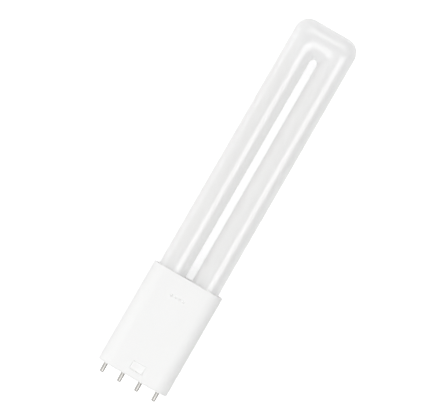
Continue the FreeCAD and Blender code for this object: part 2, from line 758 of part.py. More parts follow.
def make_board():
    body = new_body("driver_board")
    plate = new_sketch(body, "XY_Plane", board_bottom)
    add_outline(plate, rectangle(
        size.board_start, board_end, -board_half, board_half, size.board_corner
    ))
    pad(body, plate, size.board_thick)
    slots = new_sketch(body, "XY_Plane", board_bottom)
    feet = [(pin_end, across, size.tab_foot) for across in pin_rows]
    for leg in (leg_axis, -leg_axis):
        for offset in strip_tab_offsets:
            feet.append((strip_tab_end, leg + offset, size.strip_tab_wide))
    for along, across, wide in feet:
        reach = wide / 2 + size.slot_play
        start = along - size.slot_play
        end = along + size.tab_thick + size.slot_play
        add_outline(slots, rectangle(start, end, across - reach, across + reach))
    cut(body, slots, size.board_thick)


def make_bulk_capacitor():
    """A round can on its side, crimped near the seal."""
    body = new_body("bulk_capacitor")
    radius = size.bulk_dia / 2
    half = size.bulk_long / 2
    crimp = size.bulk_crimp - half
    section = new_sketch(body, "XY_Plane")
    add_outline(section, [
        (-half, ZERO),
        (half, ZERO),
        (half, radius),
        (crimp + size.bulk_groove, radius),
        (crimp, radius - size.bulk_groove),
        (crimp - size.bulk_groove, radius),
        (-half, radius),
    ])
    spin(body, section, "H_Axis")
    level = board_top + radius + size.seat_play
    place(body, size.board_start + size.bulk_from_pins, -size.bulk_off, level)


def make_transformer():
    """A closed ferrite core, the bobbin on its middle limb, and the winding."""
    level = board_top + size.bobbin_tall / 2
    centre = (size.board_start + size.core_from_pins, size.core_off, level)
    window_x = size.core_long / 2 - size.core_limb
    window_y = size.core_wide / 2 - size.core_limb
    limb = size.core_centre / 2
    half_thick = size.core_thick / 2

    core = new_body("transformer_core")
    outline = new_sketch(core, "XY_Plane")
    add_outline(outline, rectangle(
        -size.core_long / 2, size.core_long / 2, -size.core_wide / 2, size.core_wide / 2
    ))
    pad(core, outline, size.core_thick, both_ways=True)
    windows = new_sketch(core, "XY_Plane")
    add_outline(windows, rectangle(-window_x, window_x, limb, window_y))
    add_outline(windows, rectangle(-window_x, window_x, -window_y, -limb))
    cut(core, windows, size.core_thick, both_ways=True)
    place(core, *centre)

    bobbin = new_body("transformer_bobbin")
    reach = window_x - size.core_play
    hole_y = limb + size.core_play
    hole_z = half_thick + size.core_play
    flange_y = window_y - size.core_play
    flange_z = size.bobbin_tall / 2
    for start in (-reach, reach - size.bobbin_flange):
        flange = new_sketch(bobbin, "YZ_Plane", start)
        add_outline(flange, rectangle(-flange_y, flange_y, -flange_z, flange_z))
        pad(bobbin, flange, size.bobbin_flange)
    sleeve = new_sketch(bobbin, "YZ_Plane")
    sleeve_y = hole_y + size.bobbin_skin
    sleeve_z = hole_z + size.bobbin_skin
    add_outline(sleeve, rectangle(-sleeve_y, sleeve_y, -sleeve_z, sleeve_z))
    pad(bobbin, sleeve, reach * 2, both_ways=True)
    hole = new_sketch(bobbin, "YZ_Plane")
    add_outline(hole, rectangle(-hole_y, hole_y, -hole_z, hole_z))
    cut(bobbin, hole, reach * 2, both_ways=True)
    place(bobbin, *centre)

    winding = new_body("transformer_winding")
    turns = new_sketch(winding, "YZ_Plane")
    turns_y = flange_y - size.winding_inset
    turns_z = flange_z - size.winding_inset
    add_outline(turns, rectangle(-turns_y, turns_y, -turns_z, turns_z))
    add_outline(turns, rectangle(-sleeve_y, sleeve_y, -sleeve_z, sleeve_z))
    pad(winding, turns, (reach - size.bobbin_flange) * 2, both_ways=True)
    place(winding, *centre)


def make_choke():
    """A drum core on end, with its winding between the two flanges."""
    place_of_choke = (board_end - size.choke_from_tube, size.choke_off, board_top)
    radius = size.choke_dia / 2
    waist = size.choke_waist / 2
    top = size.choke_tall - size.choke_flange
    core = new_body("choke_core")
    section = new_sketch(core, "XZ_Plane")
    add_outline(section, [
        (ZERO, ZERO),
        (radius, ZERO),
        (radius, size.choke_flange),
        (waist, size.choke_flange),
        (waist, top),
        (radius, top),
        (radius, size.choke_tall),
        (ZERO, size.choke_tall),
    ])
    spin(core, section, "V_Axis")
    place(core, *place_of_choke)

    winding = new_body("choke_winding")
    section = new_sketch(winding, "XZ_Plane")
    add_outline(section, rectangle(waist, radius - size.choke_inset, size.choke_flange, top))
    spin(winding, section, "V_Axis")
    place(winding, *place_of_choke)


def make_chip(label, along, wide, high, columns, pitch, where):
    """A moulded package with a row of flat feet on each of its long sides."""
    body = new_body(label)
    block = new_sketch(body, "XY_Plane", size.foot_thick / 2)
    add_outline(block, rectangle(-along / 2, along / 2, -wide / 2, wide / 2))
    pad(body, block, high)
    feet = new_sketch(body, "XY_Plane")
    reach = wide / 2 + size.foot_reach
    for column in range(columns):
        middle = pitch * (column - (columns - 1) / 2)
        add_outline(feet, rectangle(
            middle - size.foot_wide / 2, middle + size.foot_wide / 2, -reach, reach
        ))
    pad(body, feet, size.foot_thick)
    place(body, *where)


def make_fuse_resistors():
    """Two round resistors that lie on the board, end to end across the lamp."""
    body = new_body("fuse_resistors")
    radius = size.fuse_dia / 2
    barrel = new_sketch(body, "XZ_Plane")
    add_circle(barrel, ZERO, ZERO, radius)
    first = pad(body, barrel, size.fuse_long, both_ways=True)
    row(body, first, "Y_Axis", size.fuse_off * 2, ONE + ONE)
    level = board_top + radius + size.seat_play
    place(body, size.board_start + size.fuse_from_pins, -size.fuse_off, level)


def make_film_capacitor():
    body = new_body("film_capacitor")
    block = new_sketch(body, "XY_Plane")
    add_outline(block, rectangle(
        -size.film_long / 2, size.film_long / 2, -size.film_wide / 2, size.film_wide / 2
    ))
    pad(body, block, size.film_tall)
    tall = size.film_tall.value
    soften(body, "Chamfer", size.film_bevel, lambda mid: near(mid.z, tall))
    place(body, board_end - size.film_from_tube, -size.film_off, board_top)


def make_varistor():
    """A coated disc that stands on edge."""
    body = new_body("surge_varistor")
    radius = size.disc_dia / 2
    disc = new_sketch(body, "XZ_Plane")
    add_circle(disc, ZERO, ZERO, radius)
    pad(body, disc, size.disc_thick, both_ways=True)
    level = board_top + radius + size.seat_play
    place(body, size.board_start + size.disc_from_pins, -size.disc_off, level)


make_shell("front_shell", back=False)
make_shell("back_shell", back=True)
make_holder()
make_tube()
for pin_number, pin_across in enumerate(pin_rows, start=1):
    make_pin(f"contact_pin_{pin_number}", pin_across)
    make_contact_tab(f"contact_tab_{pin_number}", pin_across)
for strip_side, strip_leg in (("left", leg_axis), ("right", -leg_axis)):
    make_strip(strip_side, strip_leg)
    make_strip_tabs(strip_side, strip_leg)
make_board()
make_bulk_capacitor()
make_transformer()
make_choke()
make_chip(
    "bridge_rectifier", size.bridge_long, size.bridge_wide, size.bridge_high, 2,
    size.bridge_pitch, (size.board_start + size.bridge_from_pins, ZERO, board_top),
)
make_chip(
    "controller_chip", size.chip_long, size.chip_wide, size.chip_high, 4,
    size.chip_pitch, (size.board_start + size.chip_from_pins, -size.chip_off, board_top),
)
make_fuse_resistors()
make_film_capacitor()
make_varistor()
doc.recompute()

for thing in doc.Objects:
    if "Invalid" in thing.State or "Error" in thing.State:
        raise RuntimeError(f"{thing.Label} did not compute: {thing.State}")
for thing in subparts:
    if thing.Shape.isNull() or not thing.Shape.isValid():
        raise RuntimeError(f"{thing.Label} has no valid shape")

os.makedirs("parts", exist_ok=True)
for thing in subparts:
    thing.Shape.exportStep(f"parts/{thing.Label}.step")
    print(thing.Label, len(thing.Shape.Solids), round(thing.Shape.Volume, 1))
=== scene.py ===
"""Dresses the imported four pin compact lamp: glass, mouldings, metal, lights and camera."""

import json
import logging
import math
from dataclasses import dataclass
from enum import Enum
from typing import Any, Callable, ClassVar

import bmesh
import bpy
from mathutils import Matrix, Vector

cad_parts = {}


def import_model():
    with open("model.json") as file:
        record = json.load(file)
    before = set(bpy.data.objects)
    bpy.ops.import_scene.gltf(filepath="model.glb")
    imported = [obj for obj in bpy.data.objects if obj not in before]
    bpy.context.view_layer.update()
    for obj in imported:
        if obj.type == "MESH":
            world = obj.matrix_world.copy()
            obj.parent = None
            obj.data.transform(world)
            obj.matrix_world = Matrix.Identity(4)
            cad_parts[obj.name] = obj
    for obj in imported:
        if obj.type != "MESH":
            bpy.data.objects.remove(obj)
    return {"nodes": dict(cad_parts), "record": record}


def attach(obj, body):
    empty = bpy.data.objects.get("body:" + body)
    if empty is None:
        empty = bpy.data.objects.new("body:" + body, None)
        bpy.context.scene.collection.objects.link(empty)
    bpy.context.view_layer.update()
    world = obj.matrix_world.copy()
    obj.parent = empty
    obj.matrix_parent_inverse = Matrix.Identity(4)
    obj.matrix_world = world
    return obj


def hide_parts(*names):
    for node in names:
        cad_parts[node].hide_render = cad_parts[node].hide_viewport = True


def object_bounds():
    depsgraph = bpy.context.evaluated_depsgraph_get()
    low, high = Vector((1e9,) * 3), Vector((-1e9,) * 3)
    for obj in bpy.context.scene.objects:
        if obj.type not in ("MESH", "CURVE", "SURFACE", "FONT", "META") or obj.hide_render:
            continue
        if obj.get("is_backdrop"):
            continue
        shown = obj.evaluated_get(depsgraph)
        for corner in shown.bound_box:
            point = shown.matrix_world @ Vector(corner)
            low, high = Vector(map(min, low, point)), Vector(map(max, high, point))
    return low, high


MM = 0.001
NEAR = 0.01 * MM  # points this close are taken as one place
TINY = 1e-6  # anything below this is taken as nothing
PIN_ROWS = (-16.5 * MM, -5.5 * MM, 5.5 * MM, 16.5 * MM)
WHITE = (1.0, 1.0, 1.0, 1.0)
log = logging.getLogger("lamp")


class Axis(Enum):
    """The row axes, by their place in a vector."""

    X = 0
    Y = 1
    Z = 2


class Signal:
    """A shader value that Python arithmetic can work on."""

    def __init__(self, graph: "Graph", socket: bpy.types.NodeSocket) -> None:
        """Wraps an output socket of a graph."""
        self.graph = graph
        self.socket = socket

    def _math(self, operation: str, first: Any, second: Any, clamp: bool = False) -> "Signal":
        """Adds one Math node.

        Args:
            operation: the node's operation.
            first: a signal or a number.
            second: a signal or a number.
            clamp: whether the result stays between 0 and 1.

        Returns:
            The node's result.
        """
        settings = {"operation": operation, "use_clamp": clamp}
        return self.graph.add("ShaderNodeMath", settings, {0: first, 1: second})

    def __add__(self, other: Any) -> "Signal":
        """Adds."""
        return self._math("ADD", self, other)

    def __sub__(self, other: Any) -> "Signal":
        """Takes away."""
        return self._math("SUBTRACT", self, other)

    def __rsub__(self, other: Any) -> "Signal":
        """Takes this signal from a number."""
        return self._math("SUBTRACT", other, self)

    def __mul__(self, other: Any) -> "Signal":
        """Multiplies."""
        return self._math("MULTIPLY", self, other)

    __radd__ = __add__
    __rmul__ = __mul__

    def above(self, edge: float, softness: float) -> "Signal":
        """A soft step.

        Args:
            edge: the value where the step starts.
            softness: the width of the step.

        Returns:
            0 below the edge, 1 a softness above it.
        """
        return self._math("MULTIPLY", self - edge, 1.0 / softness, clamp=True)

    def absolute(self) -> "Signal":
        """This signal without its sign."""
        return self._math("ABSOLUTE", self, 0.0)


class Graph:
    """The node tree of one material or world."""

    def __init__(self, tree: bpy.types.NodeTree) -> None:
        """Empties a node tree and takes it over."""
        self.tree = tree
        tree.nodes.clear()

    def node(self, kind: str, settings: dict[str, Any], sockets: dict[Any, Any]) -> bpy.types.Node:
        """Adds a node, sets it up, and gives its sockets values or links.

        Args:
            kind: the node's type.
            settings: its settings, which are set first.
            sockets: values or signals by socket name or number.

        Returns:
            The node.
        """
        made = self.tree.nodes.new(kind)
        for name, value in settings.items():
            setattr(made, name, value)
        for name, value in sockets.items():
            if isinstance(value, Signal):
                self.tree.links.new(value.socket, made.inputs[name])
            elif value is not None:
                made.inputs[name].default_value = value
        return made

    def add(self, kind: str, settings: dict[str, Any], sockets: dict[Any, Any],
            output: Any = 0) -> Signal:
        """Adds a node and hands on one of its outputs.

        Args:
            kind: the node's type.
            settings: its settings.
            sockets: values or signals by socket name or number.
            output: the output's name or number.

        Returns:
            That output.
        """
        return Signal(self, self.node(kind, settings, sockets).outputs[output])

    def place(self, stretch: tuple[float, float, float] = (1.0, 1.0, 1.0)) -> Signal:
        """The place on the object, in metres, stretched along the axes."""
        where = self.add("ShaderNodeTexCoord", {}, {}, "Object")
        return self.add("ShaderNodeMapping", {}, {"Vector": where, "Scale": stretch})

    def noise(self, grain: float, detail: float = 3.0,
              stretch: tuple[float, float, float] = (1.0, 1.0, 1.0)) -> Signal:
        """Soft noise.

        Args:
            grain: the size of its lumps, in metres.
            detail: how many finer layers it has.
            stretch: factors on the coordinates; a small one draws the lumps out.

        Returns:
            A value from 0 to 1.
        """
        sockets = {"Vector": self.place(stretch), "Scale": 1.0 / grain, "Detail": detail}
        return self.add("ShaderNodeTexNoise", {}, sockets)

    def cells(self, grain: float) -> Signal:
        """Distance to the nearest of many scattered points, about 0 to 1."""
        sockets = {"Vector": self.place(), "Scale": 1.0 / grain}
        return self.add("ShaderNodeTexVoronoi", {}, sockets, "Distance")

    def ribs(self, axis: Axis, pitch: float, wobble: float = 0.0) -> Signal:
        """Even ribs across an axis, from 0 to 1."""
        sockets = {"Vector": self.place(), "Scale": math.pi / 10.0 / pitch, "Distortion": wobble}
        settings = {"bands_direction": axis.name, "wave_profile": "SIN"}
        return self.add("ShaderNodeTexWave", settings, sockets, 1)

    def blend(self, factor: Any, low: Any, high: Any) -> Signal:
        """A colour between two colours."""
        settings = {"data_type": "RGBA", "clamp_factor": True}
        return self.add("ShaderNodeMix", settings, {0: factor, 6: low, 7: high}, 2)

    def bump(self, height: Signal, depth: float, strength: float = 1.0) -> Signal:
        """Relief of a given depth in metres."""
        sockets = {"Height": height, "Distance": depth, "Strength": strength}
        return self.add("ShaderNodeBump", {}, sockets)

    def surface(self, shader: Signal, kind: str = "ShaderNodeOutputMaterial") -> None:
        """Makes a shader the result of the tree."""
        self.node(kind, {}, {"Surface": shader})


def tinted(colour: tuple[float, float, float], factor: float) -> tuple[float, float, float, float]:
    """A colour made lighter or darker, with full opacity."""
    return tuple(min(channel * factor, 1.0) for channel in colour) + (1.0,)


@dataclass(frozen=True)
class Finish:
    """What every finish shares: a colour, a gloss and how far its tone drifts."""

    colour: tuple[float, float, float]
    roughness: float = 0.4
    drift: float = 0.03
    drift_size: ClassVar[float] = 20 * MM
    uneven: ClassVar[float] = 0.12

    def tone(self, graph: Graph) -> Signal:
        """The colour, drifting slowly over the surface."""
        return self.drifting(graph, graph.noise(self.drift_size, 2.0))

    def drifting(self, graph: Graph, signal: Signal) -> Signal:
        """The colour, darker to lighter by the drift as a signal goes from 0 to 1."""
        low, high = tinted(self.colour, 1 - self.drift), tinted(self.colour, 1 + self.drift)
        return graph.blend(signal, low, high)

    def gloss(self, signal: Signal) -> Signal:
        """The roughness, a little uneven as a signal goes from 0 to 1."""
        return self.roughness + (signal - 0.5) * self.uneven

    def sockets(self, graph: Graph) -> dict[str, Any]:
        """The shader's inputs; each finish gives its own."""
        return {"Base Color": self.tone(graph), "Roughness": self.roughness}

    def material(self, name: str) -> bpy.types.Material:
        """Makes the material.

        Args:
            name: the record's slot that it finishes.

        Returns:
            The material.
        """
        made = bpy.data.materials.new(name)
        made.use_nodes = True
        graph = Graph(made.node_tree)
        graph.surface(graph.add("ShaderNodeBsdfPrincipled", {}, self.sockets(graph)))
        return made


@dataclass(frozen=True)
class Moulding(Finish):
    """Injection-moulded plastic: spark-eroded grain and a few paler rubs."""

    grain: float = 0.18 * MM
    depth: float = 0.012 * MM
    rubs: float = 0.04
    rub_size: float = 6 * MM
    rub_draw: tuple[float, float, float] = (0.25, 1.0, 1.0)
    rub_edge: tuple[float, float] = (0.62, 0.2)
    rub_mix: float = 5.0
    rub_polish: float = 0.05
    index: float = 1.49
    shine: float = 0.25

    def sockets(self, graph: Graph) -> dict[str, Any]:
        """Grain, gloss and faint rubs that run along the lamp."""
        rubs = graph.noise(self.rub_size, 6.0, self.rub_draw).above(*self.rub_edge)
        grain = graph.noise(self.grain, 2.0)
        return {
            "Base Color": graph.blend(rubs * self.rubs * self.rub_mix, self.tone(graph),
                                      tinted(self.colour, 1 + self.rubs)),
            "Roughness": self.gloss(grain) - rubs * self.rub_polish,
            "Normal": graph.bump(grain, self.depth),
            "IOR": self.index,
            "Specular IOR Level": self.shine,
        }


@dataclass(frozen=True)
class OpalGlass(Finish):
    """Opal tube glass: a milky body under a polished skin with faint draw lines."""

    uneven: ClassVar[float] = 0.06
    line: float = 1.6 * MM
    line_draw: tuple[float, float, float] = (0.02, 1.0, 1.0)
    cloud: float = 12 * MM
    cloud_share: float = 0.7
    relief: float = 0.02 * MM
    relief_share: float = 0.6
    scatter: float = 5 * MM
    index: float = 1.5
    skin_index: float = 1.8
    skin_gloss: float = 0.16
    painted_glow: float = 0.15
    bloom: float = 0.6

    def sockets(self, graph: Graph) -> dict[str, Any]:
        """A milky body with a painted glow, a polished skin and long draw lines."""
        lines = graph.noise(self.line, 3.0, self.line_draw)
        haze = graph.noise(self.cloud, 3.0)
        return {
            "Base Color": self.drifting(
                graph, haze * self.cloud_share + lines * (1 - self.cloud_share)),
            "Roughness": self.gloss(haze),
            "Normal": graph.bump(lines * self.relief_share + haze * (1 - self.relief_share),
                                 self.relief, 0.6),
            "Subsurface Weight": 1.0,
            "Subsurface Radius": (self.scatter,) * 3,
            "Subsurface Scale": 1.0,
            "IOR": self.index,
            "Coat Weight": 1.0,
            "Coat Roughness": self.skin_gloss,
            "Coat IOR": self.skin_index,
            # Painted glow: the lamp is off, and this steady white emission stands in for light
            # carried through the opal wall.
            "Emission Color": WHITE,
            "Emission Strength": self.painted_glow,
            "Sheen Weight": 1.0,
            "Sheen Roughness": self.bloom,
        }


@dataclass(frozen=True)
class Plated(Finish):
    """Plated or bare metal with fine tool marks and a little tarnish."""

    uneven: ClassVar[float] = 0.16
    marks: Axis = Axis.X
    pitch: float = 0.12 * MM
    relief: float = 0.006 * MM
    tarnish: float = 1.2 * MM
    tarnish_edge: tuple[float, float] = (0.45, 0.3)
    tarnish_dark: float = 3.0

    def sockets(self, graph: Graph) -> dict[str, Any]:
        """Tool marks, tarnish and gloss."""
        marks = graph.ribs(self.marks, self.pitch, 0.6)
        tarnish = graph.noise(self.tarnish, 5.0)
        return {
            "Base Color": graph.blend(tarnish.above(*self.tarnish_edge), tinted(self.colour, 1.0),
                                      tinted(self.colour, 1 - self.drift * self.tarnish_dark)),
            "Metallic": 1.0,
            "Roughness": self.gloss(tarnish),
            "Normal": graph.bump(marks * 0.5 + tarnish * 0.5, self.relief),
        }


@dataclass(frozen=True)
class Laminate(Finish):
    """Glass-fibre board: woven cloth under green lacquer, with buried copper."""

    weave: float = 0.7 * MM
    tracks: float = 4 * MM
    track_edge: tuple[float, float] = (0.42, 0.05)
    track_tint: float = 1.6
    relief: float = 0.03 * MM

    def sockets(self, graph: Graph) -> dict[str, Any]:
        """A weave, copper areas and lacquer."""
        warp = graph.ribs(Axis.X, self.weave)
        weft = graph.ribs(Axis.Y, self.weave)
        copper = graph.cells(self.tracks).above(*self.track_edge)
        cloth = warp * weft
        green = graph.blend(cloth, tinted(self.colour, 0.85), tinted(self.colour, 1.15))
        return {
            "Base Color": graph.blend(copper, green, tinted(self.colour, self.track_tint)),
            "Roughness": self.roughness + cloth * 0.1,
            "Normal": graph.bump(cloth * 0.4 + copper * 0.6, self.relief),
        }


@dataclass(frozen=True)
class Wound(Finish):
    """Turns of wire or tape laid side by side round an upright core."""

    uneven: ClassVar[float] = 0.1
    gloss_size: ClassVar[float] = 1 * MM
    pitch: float = 0.4 * MM
    metallic: float = 0.0

    def sockets(self, graph: Graph) -> dict[str, Any]:
        """Turns with painted shade in the grooves between them."""
        turns = graph.ribs(Axis.Z, self.pitch, 0.3)
        return {
            # The colour drops to 0.45 in the grooves: painted shade between the turns.
            "Base Color": graph.blend(turns, tinted(self.colour, 0.45), tinted(self.colour, 1.05)),
            "Metallic": self.metallic,
            "Roughness": self.gloss(graph.noise(self.gloss_size)),
            "Normal": graph.bump(turns, self.pitch * 0.4),
        }


@dataclass(frozen=True)
class Speckled(Finish):
    """Sintered, dipped or gelled surfaces: grains of two tones with a skin."""

    gloss_size: ClassVar[float] = 3 * MM
    grain: float = 0.3 * MM
    contrast: float = 0.25
    coat: float = 0.0
    depth: float = 0.02 * MM

    def sockets(self, graph: Graph) -> dict[str, Any]:
        """Grains under a skin."""
        grains = graph.cells(self.grain)
        return {
            "Base Color": graph.blend(grains, tinted(self.colour, 1 - self.contrast),
                                      tinted(self.colour, 1 + self.contrast)),
            "Roughness": self.gloss(graph.noise(self.gloss_size)),
            "Normal": graph.bump(grains, self.depth, 0.6),
            "Coat Weight": self.coat,
        }


FINISHES: dict[str, Finish] = {
    "housing_plastic": Moulding((0.93, 0.93, 0.925), 0.38, 0.006),
    "holder_plastic": Moulding((0.82, 0.82, 0.81), 0.5, 0.01),
    "frosted_glass": OpalGlass((0.73, 0.73, 0.73), 0.30, 0.006),
    "nickel_plate": Plated((0.44, 0.43, 0.41), 0.22, 0.05),
    "tinned_brass": Plated((0.68, 0.66, 0.60), 0.42, 0.06, marks=Axis.Z, pitch=0.2 * MM),
    "strip_aluminium": Moulding((0.84, 0.84, 0.82), 0.38, 0.02, grain=0.3 * MM,
                                depth=0.008 * MM),
    "led_phosphor": Speckled((0.86, 0.72, 0.22), 0.3, grain=0.25 * MM, contrast=0.12, coat=0.4),
    "board_laminate": Laminate((0.05, 0.26, 0.12), 0.36),
    "capacitor_sleeve": Moulding((0.035, 0.036, 0.05), 0.28, 0.2, grain=1.2 * MM,
                                 depth=0.04 * MM, rubs=0.3),
    "ferrite": Speckled((0.075, 0.075, 0.08), 0.62, grain=0.35 * MM, contrast=0.35),
    "bobbin_plastic": Moulding((0.045, 0.045, 0.045), 0.5, 0.15, grain=0.25 * MM,
                               depth=0.02 * MM, rubs=0.3),
    "winding_tape": Wound((0.80, 0.62, 0.10), 0.38, pitch=1.1 * MM),
    "copper_wire": Wound((0.72, 0.32, 0.14), 0.3, pitch=0.36 * MM, metallic=0.9),
    "chip_resin": Moulding((0.03, 0.03, 0.032), 0.55, 0.2, grain=0.15 * MM,
                           depth=0.015 * MM, rubs=0.3),
    "resistor_body": Speckled((0.33, 0.52, 0.44), 0.34, grain=0.6 * MM, contrast=0.08, coat=0.5),
    "film_case": Moulding((0.74, 0.52, 0.06), 0.3, 0.05, grain=0.3 * MM),
    "varistor_coat": Speckled((0.06, 0.15, 0.48), 0.3, grain=0.8 * MM, contrast=0.1, coat=0.7,
                              depth=0.05 * MM),
}


class Modeller:
    """Hand tools: primitives, selections by place, and edit-mode operators."""

    @staticmethod
    def clear() -> None:
        """Leaves edit mode and deselects everything."""
        if bpy.context.object is not None and bpy.context.object.mode != "OBJECT":
            bpy.ops.object.mode_set(mode="OBJECT")
        bpy.ops.object.select_all(action="DESELECT")

    @classmethod
    def begin(cls, name: str, primitive: Callable[..., Any], **sizes: Any) -> bpy.types.Object:
        """Adds a primitive and gives it a name, with its place in its mesh.

        Args:
            name: the piece's name.
            primitive: the operator that adds it.
            sizes: the operator's own sizes and place.

        Returns:
            The new object.
        """
        cls.clear()
        primitive(**sizes)
        piece = bpy.context.object
        piece.name = piece.data.name = name
        bpy.ops.object.transform_apply(location=True, rotation=True, scale=True)
        return piece

    @staticmethod
    def select(piece: bpy.types.Object, kind: str, wanted: Callable[[Any], bool]) -> None:
        """Selects vertices, edges or faces of the piece in edit mode.

        Args:
            piece: the piece being edited.
            kind: "VERT", "EDGE" or "FACE".
            wanted: says of each element whether it is selected.
        """
        bpy.ops.mesh.select_mode(type=kind)
        bpy.ops.mesh.select_all(action="DESELECT")
        mesh = bmesh.from_edit_mesh(piece.data)
        elements = {"VERT": mesh.verts, "EDGE": mesh.edges, "FACE": mesh.faces}[kind]
        found = [element for element in elements if wanted(element)]
        if not found:
            raise ValueError(f"nothing was selected on {piece.name}")
        for element in found:
            element.select_set(True)
        mesh.select_flush_mode()
        bmesh.update_edit_mesh(piece.data)

    @staticmethod
    def bevel(width: float, steps: int) -> None:
        """Rounds the selected edges off."""
        bpy.ops.mesh.bevel(offset=width, segments=steps, profile=0.5, clamp_overlap=False)

    @staticmethod
    def modify(piece: bpy.types.Object, kind: str, **settings: Any) -> None:
        """Adds a modifier, sets it and applies it."""
        modifier = piece.modifiers.new(kind.title(), kind)
        for name, value in settings.items():
            setattr(modifier, name, value)
        with bpy.context.temp_override(object=piece, active_object=piece):
            bpy.ops.object.modifier_apply(modifier=modifier.name)

    @classmethod
    def carve(cls, piece: bpy.types.Object, cutter: bpy.types.Object) -> None:
        """Cuts one closed form out of another and removes the cutter."""
        cls.clear()
        cls.modify(piece, "BOOLEAN", operation="DIFFERENCE", solver="EXACT", object=cutter)
        bpy.data.objects.remove(cutter)

    @classmethod
    def smooth(cls, piece: bpy.types.Object, degrees: float) -> None:
        """Shades the faces smooth where they meet at less than an angle."""
        cls.clear()
        piece.select_set(True)
        bpy.context.view_layer.objects.active = piece
        bpy.ops.object.shade_smooth_by_angle(angle=math.radians(degrees))


@dataclass
class SubAssembly:
    """A group of pieces that are made, dressed and reported together."""

    materials: dict[str, bpy.types.Material]

    def dress(self, piece: bpy.types.Object, slot: str, *nodes: str) -> None:
        """Finishes a new piece and ties it to the frame.

        Args:
            piece: the new piece.
            slot: the record's slot for its finish.
            nodes: the CAD nodes that it stands for.
        """
        piece.data.materials.clear()
        piece.data.materials.append(self.materials[slot])
        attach(piece, "root")
        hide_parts(*nodes)
        log.info("%s: %d faces, for %s", piece.name, len(piece.data.polygons), ", ".join(nodes))


@dataclass
class TwinTube(SubAssembly):
    """The opal tube: two straight legs joined by a squared bend."""

    radius: float = 8.45 * MM
    leg_axis: float = 10.5 * MM
    foot: float = 51.1 * MM
    bend: float = 201.25 * MM
    crown: float = 214.43 * MM
    wall: float = 1.0 * MM
    sides: int = 64
    steps: int = 64
    runs: int = 3
    crease: float = 40.0

    def outline(self, angle: float) -> float:
        """How far the bend's outside is from the middle of the slot's round end.

        Args:
            angle: 0 across to one leg, half a turn across to the other.

        Returns:
            The distance, in metres.
        """
        across, ahead = abs(math.cos(angle)), math.sin(angle)
        rise = self.crown - self.bend
        wide, high = self.leg_axis + self.radius, rise + self.radius
        reach = min(wide / max(across, TINY), high / max(ahead, TINY))
        if across * reach > self.leg_axis and ahead * reach > rise:
            middle = across * self.leg_axis + ahead * rise
            spare = self.leg_axis ** 2 + rise ** 2 - self.radius ** 2
            reach = middle + math.sqrt(max(middle ** 2 - spare, 0.0))
        return reach

    def build(self) -> None:
        """Draws one leg, spins it over the slot's end, draws the other and squares the bend."""
        piece = Modeller.begin(
            "opal_tube", bpy.ops.mesh.primitive_circle_add, vertices=self.sides,
            radius=self.radius, location=(self.foot, self.leg_axis, 0.0),
            rotation=(0.0, math.pi / 2, 0.0))
        bpy.ops.object.mode_set(mode="EDIT")
        bpy.ops.mesh.select_all(action="SELECT")
        self.draw_leg(self.bend - self.foot)
        bpy.ops.mesh.spin(steps=self.steps, angle=math.pi, center=(self.bend, 0.0, 0.0),
                          axis=(0.0, 0.0, 1.0))
        self.draw_leg(self.foot - self.bend)
        self.square(piece)
        bpy.ops.mesh.select_all(action="SELECT")
        bpy.ops.mesh.remove_doubles(threshold=NEAR)
        bpy.ops.mesh.normals_make_consistent(inside=False)
        bpy.ops.object.mode_set(mode="OBJECT")
        Modeller.modify(piece, "SOLIDIFY", thickness=self.wall, offset=-1.0, use_even_offset=True)
        Modeller.smooth(piece, self.crease)
        self.dress(piece, "frosted_glass", "twin_tube")

    def draw_leg(self, length: float) -> None:
        """Draws the selected ring out along the lamp, in a few even runs."""
        for _ in range(self.runs):
            bpy.ops.mesh.extrude_region_move(
                TRANSFORM_OT_translate={"value": (length / self.runs, 0.0, 0.0)})

    def square(self, piece: bpy.types.Object) -> None:
        """Moves the bend's rings out to the squared outline."""
        mesh = bmesh.from_edit_mesh(piece.data)
        inner = self.leg_axis - self.radius
        for vertex in mesh.verts:
            ahead, across = vertex.co.x - self.bend, vertex.co.y
            if ahead > TINY:
                reach = math.hypot(ahead, across)
                angle = math.atan2(ahead, across)
                stretch = (self.outline(angle) - inner) / (2 * self.radius)
                moved = (inner + (reach - inner) * stretch) / reach
                vertex.co.x = self.bend + ahead * moved
                vertex.co.y = across * moved
        bmesh.update_edit_mesh(piece.data)


